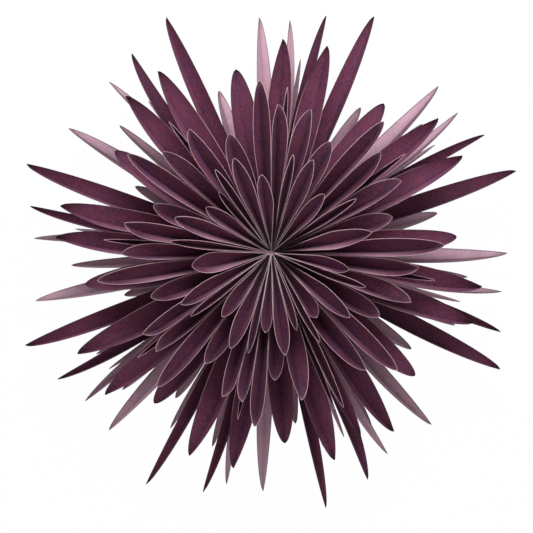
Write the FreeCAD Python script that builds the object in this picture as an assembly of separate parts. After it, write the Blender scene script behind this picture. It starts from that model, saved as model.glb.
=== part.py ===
"""Paper flower, about 400 mm across, lying on its back with its face up.

Each leaf is cut to a long pointed outline and folded down its middle into a
V-shaped trough. The leaves stand round a slim paper core in seven rings. The
five front rings open towards the face, the two back rings away from it.
Millimetres. +Z is the flower's axis, from its back to its face, and z = 0 is
the surface that it lies on. Azimuths are degrees clockwise from +Y.
"""

import FreeCAD, Part
import math
import os

# Driving sizes, in millimetres and degrees
paper = 0.2                # thickness of the paper
longest_reach = 200.0      # from the axis to the tips of the longest leaves
root_wall = 9.0            # height of a folded leaf's wall where it meets the core
narrow_root_wall = 6.0     # the same, on the narrow leaves of the slip ring
flat_root_wall = 7.0       # the same, on the flatter leaves of the two back rings
rim_gap = 0.06             # between a rim and the line that it shares with its neighbour's
ring_gap = 0.6             # between one ring's roots and the next
glue_line = 0.05           # between a leaf's root and the core
core_top_inset = 1.5       # from the front ring's rims down to the core's top
tip_wall = 1.0             # height of the wall at the blunt end of a tip
tip_bluntness = 0.56       # power of the leaf's end: 0.5 is an ellipse, 1 a parabola
full_width_from = 0.58     # share of a leaf's length where its rounded end begins
flattest = 0.97            # the widest a wall may open, as a share of its height

# The flower has hung upright, +Y up. The leaves at its sides have drooped by up
# to this much, as the cube of their reach. Every leaf has rolled over towards its
# lower rim, the nearly upright ones less: this is the sine of a leaf's lean, from
# upright, at which it has rolled by three quarters of its ring's roll
droop = 0.8
rolling_lean = 0.4

# A leaf pressed shut is half this wide: its two walls and a trace of air. Shut
# leaves with a gap on either side are as close as they can stand round the core
shut_leaf = 1.05 * paper
root_pitch = 2.0 * (shut_leaf + rim_gap)

# The flower is eight like units; each unit's leaves are a little longer or shorter
unit_stretch = (1.0, 1.0, 0.995, 1.01, 1.02, 1.02, 1.01, 1.0)
units = len(unit_stretch)

# Rings, from the face to the back: how much steeper its folds rise than just
# clears the ring behind (rise over run), the height of the wall at the root,
# whether the troughs face forward, how pointed its leaves are cut towards the
# root (0 not at all, 1 straight), and how far its leaves have rolled: the share
# of the way that the fold has moved to the lower rim. The rearmost ring's rise
# is its own.
rings = {
    "front_ring": (0.06, root_wall, True, 1.1, 0.4),
    "second_ring": (0.02, root_wall, True, 0.6, 0.5),
    "slip_ring": (0.008, narrow_root_wall, True, 0.0, 0.3),
    "third_ring": (0.02, root_wall, True, 0.2, 0.7),
    "long_ring": (0.06, root_wall, True, 0.0, 0.85),
    "back_ring": (0.035, flat_root_wall, False, 0.0, 0.6),
    "rear_ring": (-0.07, flat_root_wall, False, 0.0, 0.45),
}

# Kinds of leaf: ring, reach from the axis, full width seen from the face, height
# of the wall; where the fold lies between the rims, which side of the tip is the
# straighter (both -1 counter-clockwise, 0 middle or even, 1 clockwise); how far
# clockwise the leaf swings on its way out; and the azimuth of each unit's tip,
# or None where the unit has no such leaf
kinds = (
    ("front_ring", 60.0, 13.0, 12.0, 0.0, 0.2, 0.0, (42, 102.5, None, 184.5, 218, None, 305, 353)),
    ("front_ring", 60.0, 19.0, 14.5, 0.0, 0.2, 0.0, (None, None, 145, None, None, 261, None, None)),
    ("front_ring", 76.0, 7.0, 12.0, 0.0, 0.0, 0.0, (12.5, 57.5, 110, 151.5, 193, 232, 276.5, 326)),
    ("front_ring", 77.0, 14.0, 13.0, 0.0, 0.2, 0.0, (24, 78.5, 129.5, 172.5, 203.5, 240.5, 290, 338.5)),
    ("front_ring", 61.0, 7.0, 11.0, 0.0, 0.0, 0.0, (None, None, None, 162, None, None, None, 319)),
    ("second_ring", 113.0, 17.0, 14.5, -0.35, -0.3, 0.0, (2.5, 47, 95.5, 141, 191, 229.5, 269.5, 312.5)),
    ("second_ring", 113.0, 18.0, 14.5, 0.35, 0.3, 0.0, (15.5, 61, 109.5, 168.5, 199, 238, 281.5, 326.5)),
    ("second_ring", 96.0, 18.5, 15.0, 0.1, 0.0, 0.0, (28, 73.5, 120.5, 178.5, 211, 250, 292, 340.5)),
    ("second_ring", 131.0, 16.0, 14.5, 0.0, 0.0, 0.0, (40.5, 87.5, 133, 185.5, 220.5, 261, 304.5, 356)),
    ("second_ring", 128.0, 7.0, 13.0, 0.0, 0.0, 0.0, (None, None, None, 155, None, None, None, None)),
    ("slip_ring", 127.0, 5.0, 9.0, 0.0, 0.0, 0.0, (5.5, 53.5, 99.5, 158, 191.5, 232, 274.5, 322)),
    ("third_ring", 165.0, 20.0, 17.0, 0.0, -0.7, 0.0, (3, 51, 99, 145.5, 190, 229.5, 274, 317)),
    ("third_ring", 165.0, 20.5, 17.0, 0.05, -0.5, 0.0, (15, 63, 109, 163, 202, 242.5, 282.5, 328)),
    ("third_ring", 144.0, 21.5, 17.5, 0.0, 0.0, 0.0, (349, 37, 85, 130.5, 176, 218, 260.5, 303)),
    ("third_ring", 155.0, 12.0, 14.0, 0.0, 0.0, 0.0, (None, None, None, 154, None, None, None, None)),
    ("long_ring", 189.0, 9.0, 10.0, 0.1, 0.2, -2.8, (13, 61, 109, None, 196, 239.5, 281, None)),
    ("long_ring", 189.0, 11.5, 10.0, 0.1, 0.2, -4.5, (None, None, None, 157, None, None, None, 325)),
    ("long_ring", longest_reach, 14.0, 13.5, 0.3, 0.4, 0.8, (23.5, 71.5, 117, None, None, 249.5, 290, 336)),
    ("long_ring", longest_reach, 9.5, 10.0, 0.3, 0.4, -0.5, (None, None, None, 168, 208.5, None, None, None)),
    ("back_ring", 182.0, 9.0, 8.0, 0.1, -0.3, 3.5, (53, 99.5, 150, 191, 231.5, 273.5, 316.5, 4.5)),
    ("back_ring", 184.0, 12.5, 10.0, 0.0, -0.4, 1.4, (45, 90, 137, 182, 222.5, 258.5, 301.5, 357)),
    ("rear_ring", 134.0, 13.0, 9.5, 0.0, 0.0, 0.0, (31.5, 76.5, 124.5, 172, 213.5, None, None, 342)),
    ("rear_ring", 118.0, 13.0, 9.5, 0.0, 0.0, 0.0, (None, None, None, None, None, 254, 296, None)),
    ("rear_ring", 154.0, 5.0, 7.0, 0.0, 0.0, 0.0, (8.5, 56.5, 104.5, 158.5, 204, 234.5, 277, 321)),
    ("rear_ring", 156.0, 9.0, 7.0, 0.0, 0.0, 0.0, (358, 49.5, 97, 150, 197, 227.5, 266.5, 310)),
    ("rear_ring", 156.0, 7.0, 7.0, 0.0, 0.0, 0.0, (15.5, 63.5, 111.5, 165, 210, 240, 284, 328)),
)

# Where the sections of a leaf are taken, as shares of its length from the root:
# closer together by the root, where the walls part, and by the tip
stations = (
    0.0, 0.02, 0.05, 0.1, 0.17, 0.27, 0.38, 0.5,
    0.61, 0.71, 0.8, 0.87, 0.93, 0.97, 0.99, 1.0,
)


def half_width(cut, room):
    """Half of a leaf's width as it stands: as cut, or as its room allows if that is less.

    The two are rounded off where they cross, and a leaf is never more than shut.
    """
    sharpness = 5
    cut = max(cut, shut_leaf)
    room = max(room, shut_leaf)
    lower = (cut ** -sharpness + room ** -sharpness) ** (-1.0 / sharpness)
    return max(lower, shut_leaf)


def swing_shape(share):
    """How a leaf swings aside along its length: none at its ends, 1 at two thirds out."""
    return share ** 2 * (1.0 - share) * 27.0 / 4.0


def on_plan(azimuth, radius):
    """The point at this azimuth and radius, seen from the face."""
    angle = math.radians(azimuth)
    return radius * math.sin(angle), radius * math.cos(angle)


def list_leaves(ring):
    """The leaves of one ring in order round it, each with its sizes and unit."""
    leaves = []
    for kind_ring, reach, width, wall, fold, straight, swing, tips in kinds:
        for unit, tip in enumerate(tips):
            if kind_ring == ring and tip is not None:
                level = math.sin(math.radians(tip))
                leaves.append({
                    "unit": unit,
                    "reach": reach * unit_stretch[unit],
                    "wall": wall,
                    "pointed": rings[ring][3],
                    "left_power": tip_bluntness * (1.0 + max(0.0, -straight)),
                    "right_power": tip_bluntness * (1.0 + max(0.0, straight)),
                    "swing": swing + droop * (reach / longest_reach) ** 3 * level,
                    "rolled": rings[ring][4] * math.tanh(level / rolling_lean),
                    "left": 0.5 * width * (1.0 + fold),
                    "right": 0.5 * width * (1.0 - fold),
                    "tip": tip,
                })
    leaves.sort(key=lambda leaf: leaf["tip"])
    return leaves


def root_radius(ring):
    """The radius at which the leaves of this ring, and of those before it, fit round the core."""
    ahead = list(rings)[:list(rings).index(ring) + 1]
    fullest = max(len(list_leaves(name)) for name in ahead)
    return fullest * root_pitch / (2.0 * math.pi)


def share_lines(leaves, radius):
    """The line in plan between each leaf and the next one clockwise.

    It starts where the even packing round the core puts it and runs straight
    to a point between the two folds, shared out by the walls that face it.
    """
    count = len(leaves)
    offsets = [leaf["tip"] - 360.0 * index / count for index, leaf in enumerate(leaves)]
    first = sum(offsets) / count
    lines = []
    for index, leaf in enumerate(leaves):
        following = leaves[(index + 1) % count]
        gap = (following["tip"] - leaf["tip"]) % 360.0
        share = leaf["right"] / (leaf["right"] + following["left"])
        far = min(leaf["reach"], following["reach"])
        start = on_plan(first + 360.0 * (index + 0.5) / count, radius)
        end = on_plan(leaf["tip"] + gap * share, far)
        lines.append((start, end))
        leaf["root"] = first + 360.0 * index / count
    return lines


def sideways(line, leaf, along):
    """How far clockwise of the leaf's tip line a plan line lies, at a distance out."""
    out_x, out_y = on_plan(leaf["tip"], 1.0)
    (x0, y0), (x1, y1) = line
    out0 = x0 * out_x + y0 * out_y
    out1 = x1 * out_x + y1 * out_y
    side0 = x0 * out_y - y0 * out_x
    side1 = x1 * out_y - y1 * out_x
    return side0 + (side1 - side0) * (along - out0) / (out1 - out0)


def section(leaf, along, left_line, right_line, root, root_height):
    """The V-shaped outline of a leaf at a distance out, as (sideways, up) corners."""
    share = (along - root) / (leaf["reach"] - root)
    beyond = max(0.0, (share - full_width_from) / (1.0 - full_width_from))
    closing = max(0.0, 1.0 - beyond ** 2)
    rising = min(1.0, share / full_width_from)
    opening = rising ** leaf["pointed"]
    left = leaf["left"] * opening * closing ** leaf["left_power"]
    right = leaf["right"] * opening * closing ** leaf["right_power"]
    wall = (root_height + (leaf["wall"] - root_height) * rising) * closing ** tip_bluntness
    wall = max(wall, tip_wall)

    # The fold runs from its place round the core to the tip, and the leaf swings
    # aside on its way
    fold = root * math.sin(math.radians(leaf["root"] - leaf["tip"])) * (1.0 - share)
    fold += leaf["swing"] * swing_shape(share)
    left_room = fold - sideways(left_line, leaf, along) - rim_gap
    right_room = sideways(right_line, leaf, along) - fold - rim_gap
    left = half_width(left, left_room)
    right = half_width(right, right_room)

    # The fold rolls towards the lower rim, most of the way in the inner half
    lower = right if leaf["rolled"] > 0.0 else left
    rolled = leaf["rolled"] * math.sqrt(rising) * (lower - shut_leaf)
    fold += rolled
    left = min(left + rolled, flattest * wall)
    right = min(right - rolled, flattest * wall)
    up_left = math.sqrt(wall ** 2 - left ** 2)
    up_right = math.sqrt(wall ** 2 - right ** 2)

    # Inner corners: the walls moved inwards by the paper's thickness
    in_left = (-left + paper * up_left / wall, up_left + paper * left / wall)
    in_right = (right - paper * up_right / wall, up_right + paper * right / wall)
    to_fold = paper * wall / (left * up_right + right * up_left)
    in_fold = (to_fold * (right - left), to_fold * (up_left + up_right))
    corners = [(0.0, 0.0), (right, up_right), in_right, in_fold, in_left, (-left, up_left)]
    return [(fold + side, up) for side, up in corners]


def steepest_growth(ring):
    """How fast the tallest-growing wall of a ring gains height, over run."""
    root_height = rings[ring][1]
    root = root_radius(ring)
    growths = [0.0]
    for leaf in list_leaves(ring):
        run = full_width_from * (leaf["reach"] - root)
        growths.append((leaf["wall"] - root_height) / run)
    return max(growths)


def ring_rise(ring):
    """The rise over run of a ring's folds: each ring clears the one behind it."""
    names = list(rings)
    place = names.index(ring)
    spare = rings[ring][0]
    forward = rings[ring][2]
    if place == len(names) - 1:
        return spare
    behind = names[place + 1]
    rise = ring_rise(behind) + spare
    if not forward:
        return rise + steepest_growth(ring)
    if rings[behind][2]:
        return rise + steepest_growth(behind)
    return rise


def build_leaf(leaf, left_line, right_line, root, base, rise, root_height, forward):
    """One folded leaf, lofted through its sections from the root to the tip."""
    out_x, out_y = on_plan(leaf["tip"], 1.0)
    facing = 1.0 if forward else -1.0
    wires = []
    for share in stations:
        along = root + share * (leaf["reach"] - root)
        points = []
        for side, up in section(leaf, along, left_line, right_line, root, root_height):
            points.append(FreeCAD.Vector(
                along * out_x + side * out_y,
                along * out_y - side * out_x,
                base + (along - root) * rise + facing * up,
            ))
        points.append(points[0])
        wires.append(Part.makePolygon(points))
    return Part.makeLoft(wires, True, False)


def build_core(levels):
    """The paper spine: a stepped roll with a step at each ring's root radius."""
    rolls = []
    for bottom, top, radius in levels:
        rolls.append(Part.makeCylinder(
            radius - glue_line, top - bottom, FreeCAD.Vector(0, 0, bottom)))
    core = rolls[0].fuse(rolls[1:])
    return core.removeSplitter()


def lowest_rim(ring):
    """How far the rims of a ring that faces away hang below the fold at its root."""
    root = root_radius(ring)
    leaves = list_leaves(ring)
    lines = share_lines(leaves, root)
    drops = []
    for index, leaf in enumerate(leaves):
        for share in stations:
            along = root + share * (leaf["reach"] - root)
            corners = section(
                leaf, along, lines[index - 1], lines[index], root, rings[ring][1])
            deepest = max(up for side, up in corners)
            drops.append(deepest - (along - root) * ring_rise(ring))
    return max(drops)


def build_ring(ring, base):
    """Every leaf of a ring whose folds meet the core at this height, unit by unit."""
    root_height, forward = rings[ring][1:3]
    root = root_radius(ring)
    rise = ring_rise(ring)
    leaves = list_leaves(ring)
    lines = share_lines(leaves, root)
    groups = [[] for unit in range(units)]
    for index, leaf in enumerate(leaves):
        groups[leaf["unit"]].append(build_leaf(
            leaf, lines[index - 1], lines[index], root, base, rise, root_height, forward))
    return groups


os.makedirs("parts", exist_ok=True)

# Stack the rings from the back to the face, with the rearmost rims on the surface
names = list(rings)
base = lowest_rim(names[-1])
levels = []
bottom = 0.0
for place in range(len(names) - 1, -1, -1):
    name = names[place]
    root_height, forward = rings[name][1:3]
    for unit, solids in enumerate(build_ring(name, base)):
        Part.makeCompound(solids).exportStep("parts/%s_%d.step" % (name, unit + 1))
    top = base + root_height if forward else base + ring_gap
    levels.append((bottom, top, root_radius(name)))
    bottom = top
    if place > 0:
        ahead_height, ahead_forward = rings[names[place - 1]][1:3]
        base += ring_gap
        if forward:
            base += root_height
        elif not ahead_forward:
            base += ahead_height
levels[-1] = (levels[-1][0], levels[-1][1] - core_top_inset, levels[-1][2])
build_core(levels).exportStep("parts/core.step")
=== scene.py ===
"""Paper flower lying on its back: rings of folded plum leaves round a rolled paper core.

Every leaf of the frame is read as three lines, its fold and its two rims, and is
made again as a thin folded sheet with a cut edge. Lengths are in millimetres until
a mesh is made, and azimuths run clockwise from +Y, seen from the flower's face.
"""

import bpy
import numpy as np
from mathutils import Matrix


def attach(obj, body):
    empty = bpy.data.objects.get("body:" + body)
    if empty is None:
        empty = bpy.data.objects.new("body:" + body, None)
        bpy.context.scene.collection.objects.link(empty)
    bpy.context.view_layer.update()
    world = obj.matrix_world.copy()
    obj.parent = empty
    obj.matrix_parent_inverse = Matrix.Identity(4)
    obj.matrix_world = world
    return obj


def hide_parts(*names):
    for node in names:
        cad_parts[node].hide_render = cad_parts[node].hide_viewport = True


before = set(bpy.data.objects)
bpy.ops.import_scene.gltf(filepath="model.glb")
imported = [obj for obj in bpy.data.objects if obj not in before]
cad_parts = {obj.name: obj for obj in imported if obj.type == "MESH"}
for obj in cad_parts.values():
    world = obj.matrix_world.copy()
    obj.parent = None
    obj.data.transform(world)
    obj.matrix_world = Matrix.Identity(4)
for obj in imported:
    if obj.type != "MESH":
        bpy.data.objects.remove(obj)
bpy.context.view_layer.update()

scene = bpy.context.scene

# ---- Front ring -------------------------------------------------------------
# The short leaves round the middle, in eight units of three or four. Each is cut
# from thin plum paper, folded once, and glued by its root to the core.

MM = 1000.0                     # millimetres in a metre
PAPER = 0.2                     # thickness of every leaf, in millimetres
MERGING = 1000.0                # steps to a millimetre: corners on one step are one corner
TIP_CLEAR = 0.002               # how far inside its tip a leaf's last plane lies
ROOT_CLEAR = 0.01               # and how far inside its root the first one
CREASE = np.radians(32.0)       # a fold sharper than this shows as a crease


def separate_leaves(node):
    """The leaves of one CAD node, each as its triangles' corners, in millimetres.

    Triangles that share a corner belong together: every corner starts with a label
    of its own, and each triangle passes on the lowest of its three labels until
    none changes.
    """
    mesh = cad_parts[node].data
    mesh.calc_loop_triangles()
    corners = np.empty(len(mesh.vertices) * 3)
    mesh.vertices.foreach_get("co", corners)
    corners = corners.reshape(-1, 3) * MM
    triangles = np.empty(len(mesh.loop_triangles) * 3, dtype=np.int64)
    mesh.loop_triangles.foreach_get("vertices", triangles)
    whole = np.round(corners * MERGING).astype(np.int64)
    merged = np.unique(whole, axis=0, return_inverse=True)[1].reshape(-1)
    linked = merged[triangles].reshape(-1, 3)
    label = np.arange(merged.max() + 1)
    while True:
        lowest = np.repeat(label[linked].min(axis=1), 3)
        passed_on = label.copy()
        np.minimum.at(passed_on, linked.ravel(), lowest)
        passed_on = passed_on[passed_on]
        if np.array_equal(passed_on, label):
            break
        label = passed_on
    owner = label[linked[:, 0]]
    points = corners[triangles].reshape(-1, 3, 3)
    return [points[owner == leaf] for leaf in np.unique(owner)]


def leaf_lines(points, facing, sections):
    """The fold and the two rims of a CAD leaf, where planes across its length cut it.

    A point's place along the leaf is its plan distance along the line from the axis
    to the tip, and its place across is measured clockwise from that line. At each
    plane the fold is the cut's deepest point, and the rims are its outermost points.
    Sections lie closer together towards the tip, as 1 - (1 - share) ** 1.7.
    """
    plan = points[:, :, :2]
    radius = np.hypot(plan[:, :, 0], plan[:, :, 1])
    end = plan[radius > radius.max() - TIP_CLEAR].mean(axis=0)
    out = end / np.hypot(*end)
    along = plan @ out
    across = plan @ np.array([out[1], -out[0]])
    depth = facing * points[:, :, 2]
    share = 1.0 - (1.0 - np.linspace(0.0, 1.0, sections)) ** 1.7
    least, most = along.min() + ROOT_CLEAR, along.max() - TIP_CLEAR
    planes = least + share * (most - least)
    place = np.stack([along, across, depth], axis=2)
    start = place.reshape(-1, 3)
    finish = np.roll(place, -1, axis=1).reshape(-1, 3)
    fold, left, right = (np.empty((sections, 3)) for line in range(3))
    for index, plane in enumerate(planes):
        before, after = start[:, 0] - plane, finish[:, 0] - plane
        crossing = before * after <= 0.0
        crossing &= before != after
        weight = (before / np.where(crossing, before - after, 1.0))[crossing, None]
        cut = start[crossing] * (1.0 - weight) + finish[crossing] * weight
        fold[index] = cut[cut[:, 2].argmin()]
        left[index] = cut[cut[:, 1].argmin()]
        right[index] = cut[cut[:, 1].argmax()]
    for line in (fold, left, right):
        line[1:-1] = 0.25 * line[:-2] + 0.5 * line[1:-1] + 0.25 * line[2:]
    return out, fold, left, right


def folded_sheet(fold, left, right, bow, roundness, across):
    """Both faces of a folded leaf, each a grid of sections by places across it.

    A place across runs from -1 at the left rim through 0 at the fold to 1 at the
    right rim. The creased sheet is fold + |place| * (rim - fold), bowed outwards by
    bow * height of the wall * 4 * |place| * (1 - |place|). The rounded sheet is the
    quadratic curve from rim to rim that the fold pulls down. A leaf is creased at
    its root and becomes rounded, by its roundness, halfway along. The inner face has
    its rims moved in by the paper's thickness and its fold moved in along the line
    between the walls, but never so far that it stands above the rims.
    """
    opened = np.clip(np.linspace(0.0, 1.0, len(fold)) / 0.5, 0.0, 1.0)
    opened = opened ** 2 * (3.0 - 2.0 * opened)
    reach_left, reach_right = left - fold, right - fold
    high_left = np.linalg.norm(reach_left[:, 1:], axis=1)
    high_right = np.linalg.norm(reach_right[:, 1:], axis=1)
    unit_left = reach_left / high_left[:, None]
    unit_right = reach_right / high_right[:, None]
    turned_left = np.stack([0.0 * high_left, unit_left[:, 2], -unit_left[:, 1]], axis=1)
    turned_right = np.stack([0.0 * high_right, -unit_right[:, 2], unit_right[:, 1]], axis=1)
    between = unit_left + unit_right
    most_lift = 0.475               # share of a wall, just under half, as both walls add to it
    lean = np.abs(unit_right[:, 1] * unit_left[:, 2] - unit_right[:, 2] * unit_left[:, 1])
    lift = np.minimum(PAPER / lean, most_lift * np.minimum(high_left, high_right))
    faces = []
    for bottom, left_rim, right_rim in (
            (fold, left, right),
            (fold + lift[:, None] * between, left + PAPER * turned_left,
             right + PAPER * turned_right)):
        rows = []
        for place in across:
            part = abs(place)
            rim = left_rim if place < 0.0 else right_rim
            turned = turned_left if place < 0.0 else turned_right
            high = high_left if place < 0.0 else high_right
            bend = bow * opened * high * 4.0 * part * (1.0 - part)
            creased = bottom + part * (rim - bottom) - bend[:, None] * turned
            way = 0.5 + 0.5 * place
            rounded = (
                (1.0 - way) ** 2 * left_rim + 2.0 * way * (1.0 - way) * bottom
                + way ** 2 * right_rim)
            rows.append(creased + (roundness * opened)[:, None] * (rounded - creased))
        faces.append(np.stack(rows, axis=1))
    return faces


def leaf_mesh(points, facing, bow, roundness, tone):
    """Corners, faces, flat places and values of one leaf, as a closed folded sheet.

    Both faces are grids with the same places. Strips join them along the two rims,
    the root and the tip. A corner's flat place is where it lies on the sheet before
    it is folded: its distance out, and its distance across from the fold.
    """
    sections = 46
    places = np.array([0.0, 0.08, 0.22, 0.4, 0.58, 0.75, 0.88, 0.965, 1.0])
    across = np.concatenate([-places[:0:-1], places])
    out, fold, left, right = leaf_lines(points, facing, sections)
    outer, inner = folded_sheet(fold, left, right, bow, roundness, across)
    corners = np.concatenate([outer.reshape(-1, 3), inner.reshape(-1, 3)])
    width = len(across)
    count = sections * width

    walls = np.stack([
        np.linalg.norm(left - fold, axis=1), np.linalg.norm(right - fold, axis=1)])
    sideways = np.where(across[None, :] < 0.0, walls[0][:, None], walls[1][:, None])
    flat_across = (across[None, :] * sideways).reshape(-1)
    flat_along = np.repeat(fold[:, 0], width)
    to_rim = ((1.0 - np.abs(across))[None, :] * sideways).reshape(-1)
    to_rim = np.minimum(to_rim, fold[-1, 0] - flat_along)
    share = np.repeat((fold[:, 0] - fold[0, 0]) / (fold[-1, 0] - fold[0, 0]), width)

    # A wall is turned up where it looks narrower, from the face, than the other one.
    # It gets a painted highlight, a paler colour for the lamp's light on this narrow
    # wall, which faces the lamp beyond the flower's upper side; most on the leaves
    # that point to the sides
    fully_turned = 0.4              # the unevenness at which a wall counts as turned right up
    seen_left, seen_right = fold[:, 1] - left[:, 1], right[:, 1] - fold[:, 1]
    uneven = (seen_right - seen_left) / (seen_right + seen_left)
    painted_highlight = np.clip(-np.sign(across)[None, :] * uneven[:, None] / fully_turned, 0.0, 1.0)
    painted_highlight = painted_highlight ** 2 * (3.0 - 2.0 * painted_highlight) * np.abs(across)[None, :] ** 0.7
    painted_highlight = (painted_highlight * abs(out[0]) ** 4).reshape(-1)

    row, column = np.meshgrid(np.arange(sections - 1), np.arange(width - 1), indexing="ij")
    first = (row * width + column).ravel()
    outside = np.stack([first, first + width, first + width + 1, first + 1], axis=1)
    inside = outside[:, ::-1] + count
    step = np.arange(sections - 1) * width
    left_rim = np.stack([step, step + count, step + width + count, step + width], axis=1)
    last = step + width - 1
    right_rim = np.stack([last, last + width, last + width + count, last + count], axis=1)
    edge = np.arange(width - 1)
    root_end = np.stack([edge, edge + 1, edge + 1 + count, edge + count], axis=1)
    edge = edge + count - width
    tip_end = np.stack([edge, edge + count, edge + 1 + count, edge + 1], axis=1)
    faces = np.concatenate([outside, inside, left_rim, right_rim, root_end, tip_end])
    if facing < 0:
        faces = faces[:, ::-1]

    placed = np.empty_like(corners)
    placed[:, 0] = corners[:, 0] * out[0] + corners[:, 1] * out[1]
    placed[:, 1] = corners[:, 0] * out[1] - corners[:, 1] * out[0]
    placed[:, 2] = facing * corners[:, 2]
    values = {
        "to_rim": np.tile(to_rim, 2),
        "share": np.tile(share, 2),
        "painted_highlight": np.concatenate([np.zeros(count), painted_highlight]),
        "tone": np.full(2 * count, tone),
    }
    flat = np.tile(np.stack([flat_along, flat_across], axis=1), (2, 1))
    return placed / MM, faces, flat, values


def make_leaves(name, nodes, facing, bow, roundness, material, seed):
    """One piece for each CAD node of a ring, which it replaces, with the same leaves.

    Facing is 1 where the troughs open to the flower's face and -1 where the ridges
    show there. Bow and roundness say how the walls bend, and each leaf draws a tone.
    """
    tones = np.random.default_rng(seed)
    for number, node in enumerate(nodes):
        parts = [
            leaf_mesh(points, facing, bow, roundness, tones.uniform(-1.0, 1.0))
            for points in separate_leaves(node)]
        starts = np.cumsum([0] + [len(part[0]) for part in parts[:-1]])
        corners = np.concatenate([part[0] for part in parts])
        faces = np.concatenate([part[1] + start for part, start in zip(parts, starts)])
        flat = np.concatenate([part[2] for part in parts])
        mesh = bpy.data.meshes.new(name)
        mesh.from_pydata(corners, [], faces.tolist())
        laid_flat = mesh.uv_layers.new(name="laid_flat")
        laid_flat.data.foreach_set("uv", flat[faces.ravel()].astype(np.float32).ravel())
        for label in parts[0][3]:
            stored = mesh.attributes.new(label, "FLOAT", "POINT")
            whole = np.concatenate([part[3][label] for part in parts])
            stored.data.foreach_set("value", whole.astype(np.float32))
        mesh.polygons.foreach_set("use_smooth", np.ones(len(faces), dtype=bool))
        mesh.set_sharp_from_angle(angle=CREASE)
        mesh.materials.append(material)
        piece = bpy.data.objects.new("%s_%d" % (name, number + 1), mesh)
        scene.collection.objects.link(piece)
        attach(piece, "root")
        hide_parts(node)


def group_socket(group, name, kind, side, value=None):
    """Gives a node group a named input or output, with the value it starts from."""
    socket = group.interface.new_socket(name=name, in_out=side, socket_type=kind)
    if value is not None:
        socket.default_value = value


def math_node(tree, operation, first, second=None, third=None, clamp=False):
    """A Math node; each input is a number or another node's output."""
    node = tree.nodes.new("ShaderNodeMath")
    node.operation = operation
    node.use_clamp = clamp
    for socket, given in zip(node.inputs, (first, second, third)):
        if given is None:
            continue
        if isinstance(given, (int, float)):
            socket.default_value = given
        else:
            tree.links.new(given, socket)
    return node.outputs[0]


def noise_on(tree, place, stretch, scale, detail, roughness=0.5):
    """Noise from 0 to 1 at a place whose axes are first stretched."""
    scaled = tree.nodes.new("ShaderNodeVectorMath")
    scaled.operation = "MULTIPLY"
    tree.links.new(place, scaled.inputs[0])
    scaled.inputs[1].default_value = stretch
    noise = tree.nodes.new("ShaderNodeTexNoise")
    noise.inputs["Scale"].default_value = scale
    noise.inputs["Detail"].default_value = detail
    noise.inputs["Roughness"].default_value = roughness
    tree.links.new(scaled.outputs[0], noise.inputs["Vector"])
    return noise.outputs["Fac"]


def blend_colours(tree, share, first, second):
    """A colour between two others, by share."""
    node = tree.nodes.new("ShaderNodeMix")
    node.data_type = "RGBA"
    for socket, given in ((node.inputs["Factor"], share), (node.inputs["A"], first),
                          (node.inputs["B"], second)):
        if hasattr(given, "is_linked"):
            tree.links.new(given, socket)
        else:
            socket.default_value = given
    return node.outputs["Result"]


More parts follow.
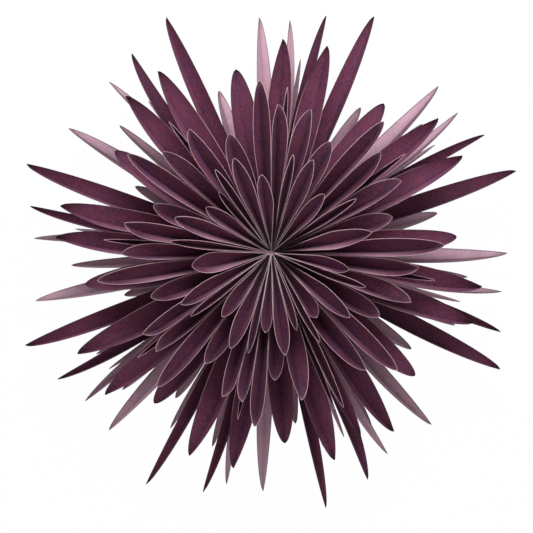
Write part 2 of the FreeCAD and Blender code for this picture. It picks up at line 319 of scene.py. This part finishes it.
def make_cut_paper():
    """The look of a cut and folded sheet of dyed paper, as a node group.

    The sheet's tone drifts with a broad mottle, long fibres and a fine speckle, and
    its hue drifts towards the cool dye. It is darker along the fold and towards the
    root, painted shade of the crease and of the crowded middle, and nearly black at
    the root itself, a painted shadow. At the very tip it turns towards the tip edge's
    colour, and the turned-up wall is paler, a painted highlight of the lamp's light.
    Within the cut edge's width of a rim it gives way to the colour of the edge, which
    is thinner towards the root, and fainter there on all but the lightest leaves,
    painted shade.
    """
    leaf_step = 400.0               # millimetres between the patterns of leaves one tone apart
    fold_reach = 5.0                # from the fold to where its painted shade ends, in millimetres
    tip_power = 42.0                # the higher it is, the shorter the tip that takes the tip edge's colour
    group = bpy.data.node_groups.new("cut_paper", "ShaderNodeTree")
    group_socket(group, "Face", "NodeSocketColor", "INPUT", (0.2, 0.07, 0.1, 1.0))
    group_socket(group, "Cool", "NodeSocketColor", "INPUT", (0.15, 0.06, 0.12, 1.0))
    group_socket(group, "Deep", "NodeSocketColor", "INPUT", (0.1, 0.03, 0.05, 1.0))
    # Colour of the painted shadow at the root
    group_socket(group, "Root", "NodeSocketColor", "INPUT", (0.01, 0.005, 0.01, 1.0))
    # Colour of the painted highlight on the turned-up wall
    group_socket(group, "Highlight colour", "NodeSocketColor", "INPUT", (0.4, 0.2, 0.3, 1.0))
    group_socket(group, "Cut edge", "NodeSocketColor", "INPUT", (0.5, 0.3, 0.36, 1.0))
    group_socket(group, "Tip edge", "NodeSocketColor", "INPUT", (0.5, 0.3, 0.36, 1.0))
    group_socket(group, "Edge width", "NodeSocketFloat", "INPUT", 0.4)
    group_socket(group, "Edge strength", "NodeSocketFloat", "INPUT", 1.0)
    group_socket(group, "Grain", "NodeSocketFloat", "INPUT", 1.0)
    group_socket(group, "Leaf tone", "NodeSocketFloat", "INPUT", 0.1)
    group_socket(group, "Tip shade", "NodeSocketFloat", "INPUT", 0.3)
    group_socket(group, "Fold shade", "NodeSocketFloat", "INPUT", 0.2)
    group_socket(group, "Root shade", "NodeSocketFloat", "INPUT", 0.5)
    # Strength of that painted highlight
    group_socket(group, "Highlight strength", "NodeSocketFloat", "INPUT", 0.5)
    group_socket(group, "Color", "NodeSocketColor", "OUTPUT")
    group_socket(group, "Roughness", "NodeSocketFloat", "OUTPUT")
    group_socket(group, "Height", "NodeSocketFloat", "OUTPUT")
    given = group.nodes.new("NodeGroupInput").outputs
    result = group.nodes.new("NodeGroupOutput").inputs

    def value_of(name):
        node = group.nodes.new("ShaderNodeAttribute")
        node.attribute_name = name
        return node.outputs["Fac"]

    to_rim, share, tone, painted_highlight = (
        value_of(name) for name in ("to_rim", "share", "tone", "painted_highlight"))
    flat = group.nodes.new("ShaderNodeUVMap")
    flat.uv_map = "laid_flat"
    apart = group.nodes.new("ShaderNodeSeparateXYZ")
    group.links.new(flat.outputs["UV"], apart.inputs[0])
    place = group.nodes.new("ShaderNodeCombineXYZ")
    group.links.new(apart.outputs["X"], place.inputs["X"])
    group.links.new(apart.outputs["Y"], place.inputs["Y"])
    group.links.new(math_node(group, "MULTIPLY", tone, leaf_step), place.inputs["Z"])
    place = place.outputs[0]

    mottle = noise_on(group, place, (0.5, 1.0, 1.0), 0.09, 3.0)
    drift = noise_on(group, place, (0.6, 1.0, 0.7), 0.2, 2.0)
    fibre = noise_on(group, place, (0.16, 1.0, 1.0), 1.5, 4.0, 0.6)
    speckle = noise_on(group, place, (1.0, 1.0, 1.0), 0.75, 3.0, 0.75)

    grain = math_node(group, "ADD", math_node(group, "MULTIPLY_ADD", fibre, 0.8, -0.4), math_node(
        group, "MULTIPLY_ADD", speckle, 2.8, -1.4))
    level = math_node(group, "MULTIPLY_ADD", mottle, 0.6, 0.41)
    level = math_node(group, "MULTIPLY_ADD", grain, given["Grain"], level)
    level = math_node(group, "MULTIPLY_ADD", tone, given["Leaf tone"], level)

    # Painted shade: darker towards the fold and the root, where the crease and the crowded leaves lie
    # in shade
    from_fold = math_node(group, "DIVIDE", math_node(
        group, "ABSOLUTE", apart.outputs["Y"]), fold_reach)
    painted_fold_root_shade = math_node(group, "POWER", math_node(group, "SUBTRACT", 1.0, from_fold, clamp=True), 2.0)
    painted_root_shade = math_node(group, "SUBTRACT", 1.0, math_node(group, "MULTIPLY", share, 2.6), clamp=True)
    painted_fold_root_shade = math_node(group, "MULTIPLY", given["Fold shade"], math_node(
        group, "MAXIMUM", painted_fold_root_shade, painted_root_shade))
    level = math_node(group, "SUBTRACT", level, painted_fold_root_shade, clamp=True)
    cool = math_node(group, "MULTIPLY_ADD", drift, 2.8, -1.1)
    cool = math_node(group, "ADD", cool, math_node(
        group, "MULTIPLY_ADD", from_fold, -0.16, 0.26), clamp=True)
    sheet = blend_colours(group, cool, given["Face"], given["Cool"])
    sheet = blend_colours(group, level, given["Deep"], sheet)

    # Painted highlight: the turned-up wall is paler, all but its tip, for the lamp's light on it
    highlight_mask = math_node(group, "MULTIPLY_ADD", share, -4.0, 3.5, clamp=True)
    highlight_mask = math_node(group, "MULTIPLY", highlight_mask, math_node(
        group, "MULTIPLY", painted_highlight, given["Highlight strength"]))
    highlight_mask = math_node(group, "MULTIPLY", highlight_mask, math_node(
        group, "MULTIPLY_ADD", fibre, 0.7, 0.6), clamp=True)
    sheet = blend_colours(group, highlight_mask, sheet, given["Highlight colour"])
    # Painted shadow: nearly black towards the root, where the leaves crowd into the core
    painted_root_shadow = math_node(group, "POWER", math_node(group, "SUBTRACT", 1.0, math_node(
        group, "MULTIPLY", share, 1.9), clamp=True), 1.5)
    painted_root_shadow = math_node(group, "MULTIPLY", painted_root_shadow, given["Root shade"])
    sheet = blend_colours(group, painted_root_shadow, sheet, given["Root"])
    at_tip = math_node(group, "MULTIPLY", given["Tip shade"], math_node(
        group, "POWER", share, tip_power))
    sheet = blend_colours(group, at_tip, sheet, given["Tip edge"])

    # The cut edge: its width wanders a little with the fibres that it cuts
    width = math_node(group, "MULTIPLY", given["Edge width"], math_node(
        group, "MULTIPLY_ADD", fibre, 0.9, 0.55))
    width = math_node(group, "MULTIPLY", width, math_node(
        group, "MULTIPLY_ADD", share, 2.0, 0.2, clamp=True))
    edge = math_node(group, "SUBTRACT", 1.35, math_node(group, "DIVIDE", to_rim, width), clamp=True)
    # Towards the root the edge fades, on all but the lightest leaves: painted shade of the deep
    # middle
    edge = math_node(group, "MULTIPLY", edge, math_node(
        group, "MULTIPLY", given["Edge strength"], math_node(
            group, "ADD", math_node(group, "MULTIPLY_ADD", tone, 2.5, -0.2), math_node(
                group, "MULTIPLY", share, 8.0), clamp=True)))
    outward = math_node(group, "MULTIPLY_ADD", share, 4.0, -2.4, clamp=True)
    rim = blend_colours(group, outward, given["Cut edge"], given["Tip edge"])
    colour = blend_colours(group, edge, sheet, rim)
    group.links.new(colour, result["Color"])
    group.links.new(math_node(group, "MULTIPLY_ADD", speckle, 0.2, 0.56), result["Roughness"])
    height = math_node(group, "MULTIPLY_ADD", speckle, 0.5, math_node(group, "MULTIPLY", fibre, 0.5))
    group.links.new(height, result["Height"])
    return group


cut_paper = make_cut_paper()


def paper_material(name, looks):
    """Matt dyed paper: the cut-paper group feeding one Principled shader."""
    material = bpy.data.materials.new(name)
    material.use_nodes = True
    tree = material.node_tree
    shader = tree.nodes["Principled BSDF"]
    shader.inputs["Specular IOR Level"].default_value = 0.25
    shader.inputs["Sheen Weight"].default_value = 0.07
    shader.inputs["Sheen Roughness"].default_value = 0.4
    shader.inputs["Sheen Tint"].default_value = (1.0, 0.72, 0.86, 1.0)
    paper = tree.nodes.new("ShaderNodeGroup")
    paper.node_tree = cut_paper
    for socket, value in looks.items():
        paper.inputs[socket].default_value = value
    bump = tree.nodes.new("ShaderNodeBump")
    bump.inputs["Strength"].default_value = 0.35
    bump.inputs["Distance"].default_value = 0.00004
    tree.links.new(paper.outputs["Color"], shader.inputs["Base Color"])
    tree.links.new(paper.outputs["Roughness"], shader.inputs["Roughness"])
    tree.links.new(paper.outputs["Height"], bump.inputs["Height"])
    tree.links.new(bump.outputs["Normal"], shader.inputs["Normal"])
    return material


UNITS = range(1, 9)
# The inner rings' plum is a darker copy of the outer plum: painted shade of the flower's deep middle
SHADED_PLUM = (0.172, 0.041, 0.075, 1.0)
SHADED_COOL_PLUM = (0.096, 0.036, 0.094, 1.0)
DEEP_PLUM = (0.030, 0.008, 0.018, 1.0)
PALE_EDGE = (0.93, 0.62, 0.70, 1.0)
DARK_EDGE = (0.022, 0.010, 0.015, 1.0)
# The near-black of the painted shadow at the leaves' roots
PAINTED_ROOT_BLACK = (0.004, 0.002, 0.003, 1.0)
# The paler colour of the painted highlight on the turned-up walls
PAINTED_HIGHLIGHT_PLUM = (0.74, 0.42, 0.56, 1.0)

shaded_inner_looks = {
    "Face": SHADED_PLUM, "Cool": SHADED_COOL_PLUM, "Deep": DEEP_PLUM, "Root": PAINTED_ROOT_BLACK,
    "Highlight colour": PAINTED_HIGHLIGHT_PLUM, "Cut edge": PALE_EDGE, "Tip edge": PALE_EDGE,
    "Leaf tone": 0.08, "Fold shade": 0.36}
front_paper = paper_material("front_paper", {
    **shaded_inner_looks, "Edge width": 0.6, "Edge strength": 0.95, "Tip shade": 0.1,
    "Root shade": 1.0, "Highlight strength": 0.6})
make_leaves(
    "front_leaves", ["front_ring_%d" % unit for unit in UNITS], facing=1, bow=0.05,
    roundness=0.05, material=front_paper, seed=11)

# ---- Second ring ------------------------------------------------------------
# Four or five leaves a unit, seen past the front ring: most of the flower's face.
# They are cut from the same plum paper, folded once and glued round the core.

second_paper = paper_material("second_paper", {
    **shaded_inner_looks, "Edge width": 0.55, "Edge strength": 0.9, "Tip shade": 0.2,
    "Root shade": 0.8, "Highlight strength": 0.65})
make_leaves(
    "second_leaves", ["second_ring_%d" % unit for unit in UNITS], facing=1, bow=0.05,
    roundness=0.05, material=second_paper, seed=12)

# ---- Slip ring --------------------------------------------------------------
# One very narrow folded leaf a unit, of the same paper, slipped in between the
# second and third rings and glued to the core there.

slip_paper = paper_material("slip_paper", {
    **shaded_inner_looks, "Edge width": 0.6, "Edge strength": 0.85, "Tip shade": 0.2,
    "Root shade": 0.6, "Highlight strength": 0.5})
make_leaves(
    "slip_leaves", ["slip_ring_%d" % unit for unit in UNITS], facing=1, bow=0.03,
    roundness=0.05, material=slip_paper, seed=13)

# ---- Third ring -------------------------------------------------------------
# The broadest leaves, three or four a unit, which carry the flower's rounded
# outline. Their plum is the paper's own colour; the inner rings take a darker copy
# of it, painted shade. Folded once, glued to the core.

OUTER_PLUM = (0.245, 0.064, 0.120, 1.0)
COOL_OUTER_PLUM = (0.190, 0.063, 0.140, 1.0)

outer_dye = {
    "Face": OUTER_PLUM, "Cool": COOL_OUTER_PLUM, "Deep": DEEP_PLUM, "Root": PAINTED_ROOT_BLACK,
    "Highlight colour": PAINTED_HIGHLIGHT_PLUM, "Tip edge": DARK_EDGE, "Grain": 0.8, "Leaf tone": 0.08,
    "Tip shade": 1.0, "Fold shade": 0.22, "Root shade": 0.4}
third_paper = paper_material("third_paper", {
    **outer_dye, "Cut edge": PALE_EDGE, "Edge width": 0.58, "Edge strength": 0.95,
    "Highlight strength": 0.7})
make_leaves(
    "third_leaves", ["third_ring_%d" % unit for unit in UNITS], facing=1, bow=0.05,
    roundness=0.08, material=third_paper, seed=14)

# ---- Long ring --------------------------------------------------------------
# The long curved blades and a thin blade beside each, folded from the same plum
# paper as the third ring and glued to the core behind the third ring. Their rims are dark.

long_paper = paper_material("long_paper", {
    **outer_dye, "Cut edge": DARK_EDGE, "Edge width": 0.45, "Edge strength": 0.9,
    "Highlight strength": 0.45})
make_leaves(
    "long_leaves", ["long_ring_%d" % unit for unit in UNITS], facing=1, bow=0.05,
    roundness=0.08, material=long_paper, seed=15)

# ---- Back ring --------------------------------------------------------------
# Two leaves a unit of a paler mauve paper, folded the other way, ridge to the
# face, and glued to the core behind the long ring.

MAUVE = (0.72, 0.42, 0.52, 1.0)
COOL_MAUVE = (0.62, 0.41, 0.53, 1.0)
DEEP_MAUVE = (0.22, 0.115, 0.16, 1.0)
GREY_EDGE = (0.085, 0.065, 0.072, 1.0)

pale_dye = {
    "Face": MAUVE, "Cool": COOL_MAUVE, "Deep": DEEP_MAUVE, "Root": PAINTED_ROOT_BLACK,
    "Highlight colour": MAUVE, "Cut edge": GREY_EDGE, "Tip edge": GREY_EDGE, "Edge width": 0.85,
    "Edge strength": 0.9, "Grain": 0.4, "Tip shade": 0.9, "Fold shade": 0.3,
    "Root shade": 0.3, "Highlight strength": 0.0}
back_paper = paper_material("back_paper", {**pale_dye, "Leaf tone": 0.35})
make_leaves(
    "back_leaves", ["back_ring_%d" % unit for unit in UNITS], facing=-1, bow=0.03,
    roundness=0.15, material=back_paper, seed=16)

# ---- Rear ring --------------------------------------------------------------
# The rearmost leaves, four a unit, of the same mauve paper and folded the same way
# as the back ring's. They are glued round the core's back end, and the flower lies
# on their rims.

rear_paper = paper_material("rear_paper", {**pale_dye, "Leaf tone": 0.25})
make_leaves(
    "rear_leaves", ["rear_ring_%d" % unit for unit in UNITS], facing=-1, bow=0.03,
    roundness=0.15, material=rear_paper, seed=17)

# ---- Core -------------------------------------------------------------------
# A slim roll of the same paper, wound tight and glued, that carries every leaf's
# root. Only its two ends can be seen, where the turns show as a spiral.

TURN = 0.9                      # from one turn of the roll to the next, in millimetres
GROOVE = 0.35                   # how deep the line between two turns lies
END_RINGS = 12                  # rings of corners on each end, inside its rim
PLACES_ROUND = 72               # corners in a ring
ROLL_GROOVE = (0.12, 0.02, 0.04, 1.0)
ROLL_CREST = (1.0, 0.70, 0.80, 1.0)


def core_steps(node):
    """The radius of each step of the CAD core, and the heights where it starts and ends.

    Two circles that follow each other up the core and have one radius in common
    are the ends of a step of that radius.
    """
    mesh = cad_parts[node].data
    corners = np.empty(len(mesh.vertices) * 3)
    mesh.vertices.foreach_get("co", corners)
    corners = np.round(corners.reshape(-1, 3) * MM, 2)
    radius = np.round(np.hypot(corners[:, 0], corners[:, 1]), 1)
    levels = np.unique(corners[:, 2])
    circles = [np.unique(radius[corners[:, 2] == level]) for level in levels]
    widths = [np.intersect1d(low, high).max() for low, high in zip(circles[:-1], circles[1:])]
    return np.array(widths), levels


def rolled_core(widths, levels, places):
    """Corners and faces of the roll: its stepped profile turned about the flower's axis.

    The profile runs from the middle of the back end out to its rim, up the steps
    and in to the middle of the front end. Both ends sink by GROOVE * (1 + cos(full
    turns)) / 2, where the turns are radius / TURN - angle / a full circle. Each end
    closes in one corner on the axis.
    """
    shares = np.linspace(0.0, 1.0, END_RINGS + 2)[1:-1]
    radius = np.concatenate([widths[0] * shares, np.repeat(widths, 2), widths[-1] * shares[::-1]])
    height = np.concatenate([
        np.full(END_RINGS, levels[0]), np.stack([levels[:-1], levels[1:]], axis=1).ravel(),
        np.full(END_RINGS, levels[-1])])
    end = np.concatenate([
        np.full(END_RINGS, 1.0), np.zeros(2 * len(widths)), np.full(END_RINGS, -1.0)])
    angle = np.linspace(0.0, 2.0 * np.pi, places, endpoint=False)
    turns = radius[None, :] / TURN - angle[:, None] / (2.0 * np.pi)
    sunk = GROOVE * (0.5 + 0.5 * np.cos(2.0 * np.pi * turns))
    grid = np.stack([
        radius * np.sin(angle)[:, None], radius * np.cos(angle)[:, None],
        height + end * sunk], axis=2)
    rows = len(radius)
    corners = np.concatenate([
        grid.reshape(-1, 3), [[0.0, 0.0, levels[0] + GROOVE], [0.0, 0.0, levels[-1] - GROOVE]]])
    turn, step = np.meshgrid(np.arange(places), np.arange(rows - 1), indexing="ij")
    here = (turn * rows + step).ravel()
    beside = ((turn + 1) % places * rows + step).ravel()
    sides = np.stack([here, here + 1, beside + 1, beside], axis=1)
    first = np.arange(places) * rows
    second = (np.arange(places) + 1) % places * rows
    back = np.stack([first, second, np.full(places, places * rows)], axis=1)
    front = np.stack(
        [first + rows - 1, np.full(places, places * rows + 1), second + rows - 1], axis=1)
    return corners / MM, sides.tolist() + back.tolist() + front.tolist()


core_mesh = bpy.data.meshes.new("core_roll")
core_corners, core_faces = rolled_core(*core_steps("core"), PLACES_ROUND)
core_mesh.from_pydata(core_corners, [], core_faces)
core_mesh.polygons.foreach_set("use_smooth", np.ones(len(core_faces), dtype=bool))
core_mesh.set_sharp_from_angle(angle=np.radians(40.0))
core_roll = bpy.data.objects.new("core_roll", core_mesh)
scene.collection.objects.link(core_roll)

core_paper = bpy.data.materials.new("rolled_paper")
core_paper.use_nodes = True
tree = core_paper.node_tree
shader = tree.nodes["Principled BSDF"]
shader.inputs["Roughness"].default_value = 0.7
shader.inputs["Specular IOR Level"].default_value = 0.3
coordinates = tree.nodes.new("ShaderNodeTexCoord")
apart = tree.nodes.new("ShaderNodeSeparateXYZ")
tree.links.new(coordinates.outputs["Object"], apart.inputs[0])
out = math_node(tree, "SQRT", math_node(tree, "ADD", math_node(
    tree, "MULTIPLY", apart.outputs["X"], apart.outputs["X"]), math_node(
        tree, "MULTIPLY", apart.outputs["Y"], apart.outputs["Y"])))
angle = math_node(tree, "ARCTAN2", apart.outputs["X"], apart.outputs["Y"])
turns = math_node(tree, "SUBTRACT", math_node(tree, "MULTIPLY", out, MM / TURN), math_node(
    tree, "DIVIDE", angle, 2.0 * np.pi))
crest = math_node(tree, "MULTIPLY_ADD", math_node(
    tree, "COSINE", math_node(tree, "MULTIPLY", turns, 2.0 * np.pi)), -0.5, 0.5)
crest = math_node(tree, "POWER", crest, 0.8)
fibre = noise_on(tree, coordinates.outputs["Object"], (1.0, 1.0, 0.2), 900.0, 3.0)
crest = math_node(tree, "MULTIPLY", crest, math_node(
    tree, "MULTIPLY_ADD", fibre, 1.2, 0.2), clamp=True)
tree.links.new(blend_colours(tree, crest, ROLL_GROOVE, ROLL_CREST), shader.inputs["Base Color"])
core_mesh.materials.append(core_paper)
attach(core_roll, "root")
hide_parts("core")

# ---- Floor and backdrop -----------------------------------------------------
# A wide white floor under the flower. Seen directly it is white, and keeps a
# faint shadow; it lights the undersides as plain white paint would. From below
# the camera sees through it to the flower's back.


def seen_by_camera(tree, path):
    """1 for a ray from the camera, straight or by gloss or through glass, and else 0."""
    return math_node(tree, "MAXIMUM", path.outputs["Is Camera Ray"], math_node(
        tree, "MAXIMUM", path.outputs["Is Glossy Ray"], path.outputs["Is Transmission Ray"]))


floor_reach = 4.0
floor_whiteness = 0.988         # how much of the floor, seen directly, is plain white
mesh = bpy.data.meshes.new("floor")
mesh.from_pydata(
    [(-floor_reach, -floor_reach, 0.0), (floor_reach, -floor_reach, 0.0),
     (floor_reach, floor_reach, 0.0), (-floor_reach, floor_reach, 0.0)], [], [(0, 1, 2, 3)])
floor = bpy.data.objects.new("floor", mesh)
scene.collection.objects.link(floor)
white = bpy.data.materials.new("white_floor")
white.use_nodes = True
tree = white.node_tree
tree.nodes.clear()
paint = tree.nodes.new("ShaderNodeBsdfDiffuse")
paint.inputs["Color"].default_value = (0.85, 0.85, 0.85, 1.0)
glow = tree.nodes.new("ShaderNodeEmission")
glow.inputs["Color"].default_value = (1.0, 1.0, 1.0, 1.0)
path = tree.nodes.new("ShaderNodeLightPath")
mix = tree.nodes.new("ShaderNodeMixShader")
tree.links.new(math_node(
    tree, "MULTIPLY", seen_by_camera(tree, path), floor_whiteness), mix.inputs[0])
tree.links.new(paint.outputs[0], mix.inputs[1])
tree.links.new(glow.outputs[0], mix.inputs[2])
below = tree.nodes.new("ShaderNodeNewGeometry")
clear = tree.nodes.new("ShaderNodeBsdfTransparent")
see_through = tree.nodes.new("ShaderNodeMixShader")
camera_below = math_node(
    tree, "MULTIPLY", below.outputs["Backfacing"], path.outputs["Is Camera Ray"])
tree.links.new(camera_below, see_through.inputs[0])
tree.links.new(mix.outputs[0], see_through.inputs[1])
tree.links.new(clear.outputs[0], see_through.inputs[2])
output = tree.nodes.new("ShaderNodeOutputMaterial")
tree.links.new(see_through.outputs[0], output.inputs["Surface"])
mesh.materials.append(white)

world = bpy.data.worlds.new("studio")
scene.world = world
world.use_nodes = True
tree = world.node_tree
tree.nodes.clear()
path = tree.nodes.new("ShaderNodeLightPath")
soft = tree.nodes.new("ShaderNodeBackground")
soft.inputs["Color"].default_value = (1.0, 1.0, 1.0, 1.0)
soft.inputs["Strength"].default_value = 0.29
backdrop = tree.nodes.new("ShaderNodeBackground")
backdrop.inputs["Color"].default_value = (1.0, 1.0, 1.0, 1.0)
backdrop.inputs["Strength"].default_value = 1.0
mix = tree.nodes.new("ShaderNodeMixShader")
tree.links.new(seen_by_camera(tree, path), mix.inputs[0])
tree.links.new(soft.outputs[0], mix.inputs[1])
tree.links.new(backdrop.outputs[0], mix.inputs[2])
output = tree.nodes.new("ShaderNodeOutputWorld")
tree.links.new(mix.outputs[0], output.inputs["Surface"])

# ---- Lights and camera ------------------------------------------------------
# A wide soft lamp stands beyond the flower's upper side, as a window would, with a
# low weak one across from it, and the camera looks straight down on the face.


def soft_lamp(name, width, depth, energy, place, tilt, turn):
    """A rectangular lamp, tilted about X and then turned about Z, in degrees."""
    lamp = bpy.data.lights.new(name, "AREA")
    lamp.shape = "RECTANGLE"
    lamp.size = width
    lamp.size_y = depth
    lamp.energy = energy
    hung = bpy.data.objects.new(name, lamp)
    scene.collection.objects.link(hung)
    hung.location = place
    hung.rotation_euler = (np.radians(tilt), 0.0, np.radians(turn))


soft_lamp("key", width=0.7, depth=0.35, energy=5.6, place=(0.06, 0.53, 0.55),
          tilt=-46.7, turn=-6.5)
soft_lamp("fill", width=1.2, depth=0.5, energy=2.6, place=(-0.15, -0.9, 0.35),
          tilt=70.0, turn=-9.5)

camera_height = 2.3
framed_width = 0.4147           # what the picture takes in, across the leaves' middle height
middle_height = 0.028
axis_right = 0.00389            # how far the flower's axis stands to the right of the picture's
axis_up = 0.0105                # middle, and above it
sensor_width = 36.0             # in millimetres
lens_data = bpy.data.cameras.new("camera")
lens_data.sensor_width = sensor_width
lens_data.lens = sensor_width * (camera_height - middle_height) / framed_width
lens_data.shift_x = -axis_right / framed_width
lens_data.shift_y = -axis_up / framed_width
lens_data.clip_end = 20.0
camera = bpy.data.objects.new("camera", lens_data)
camera.location = (0.0, 0.0, camera_height)
scene.collection.objects.link(camera)
scene.camera = camera
scene.view_settings.view_transform = "Standard"
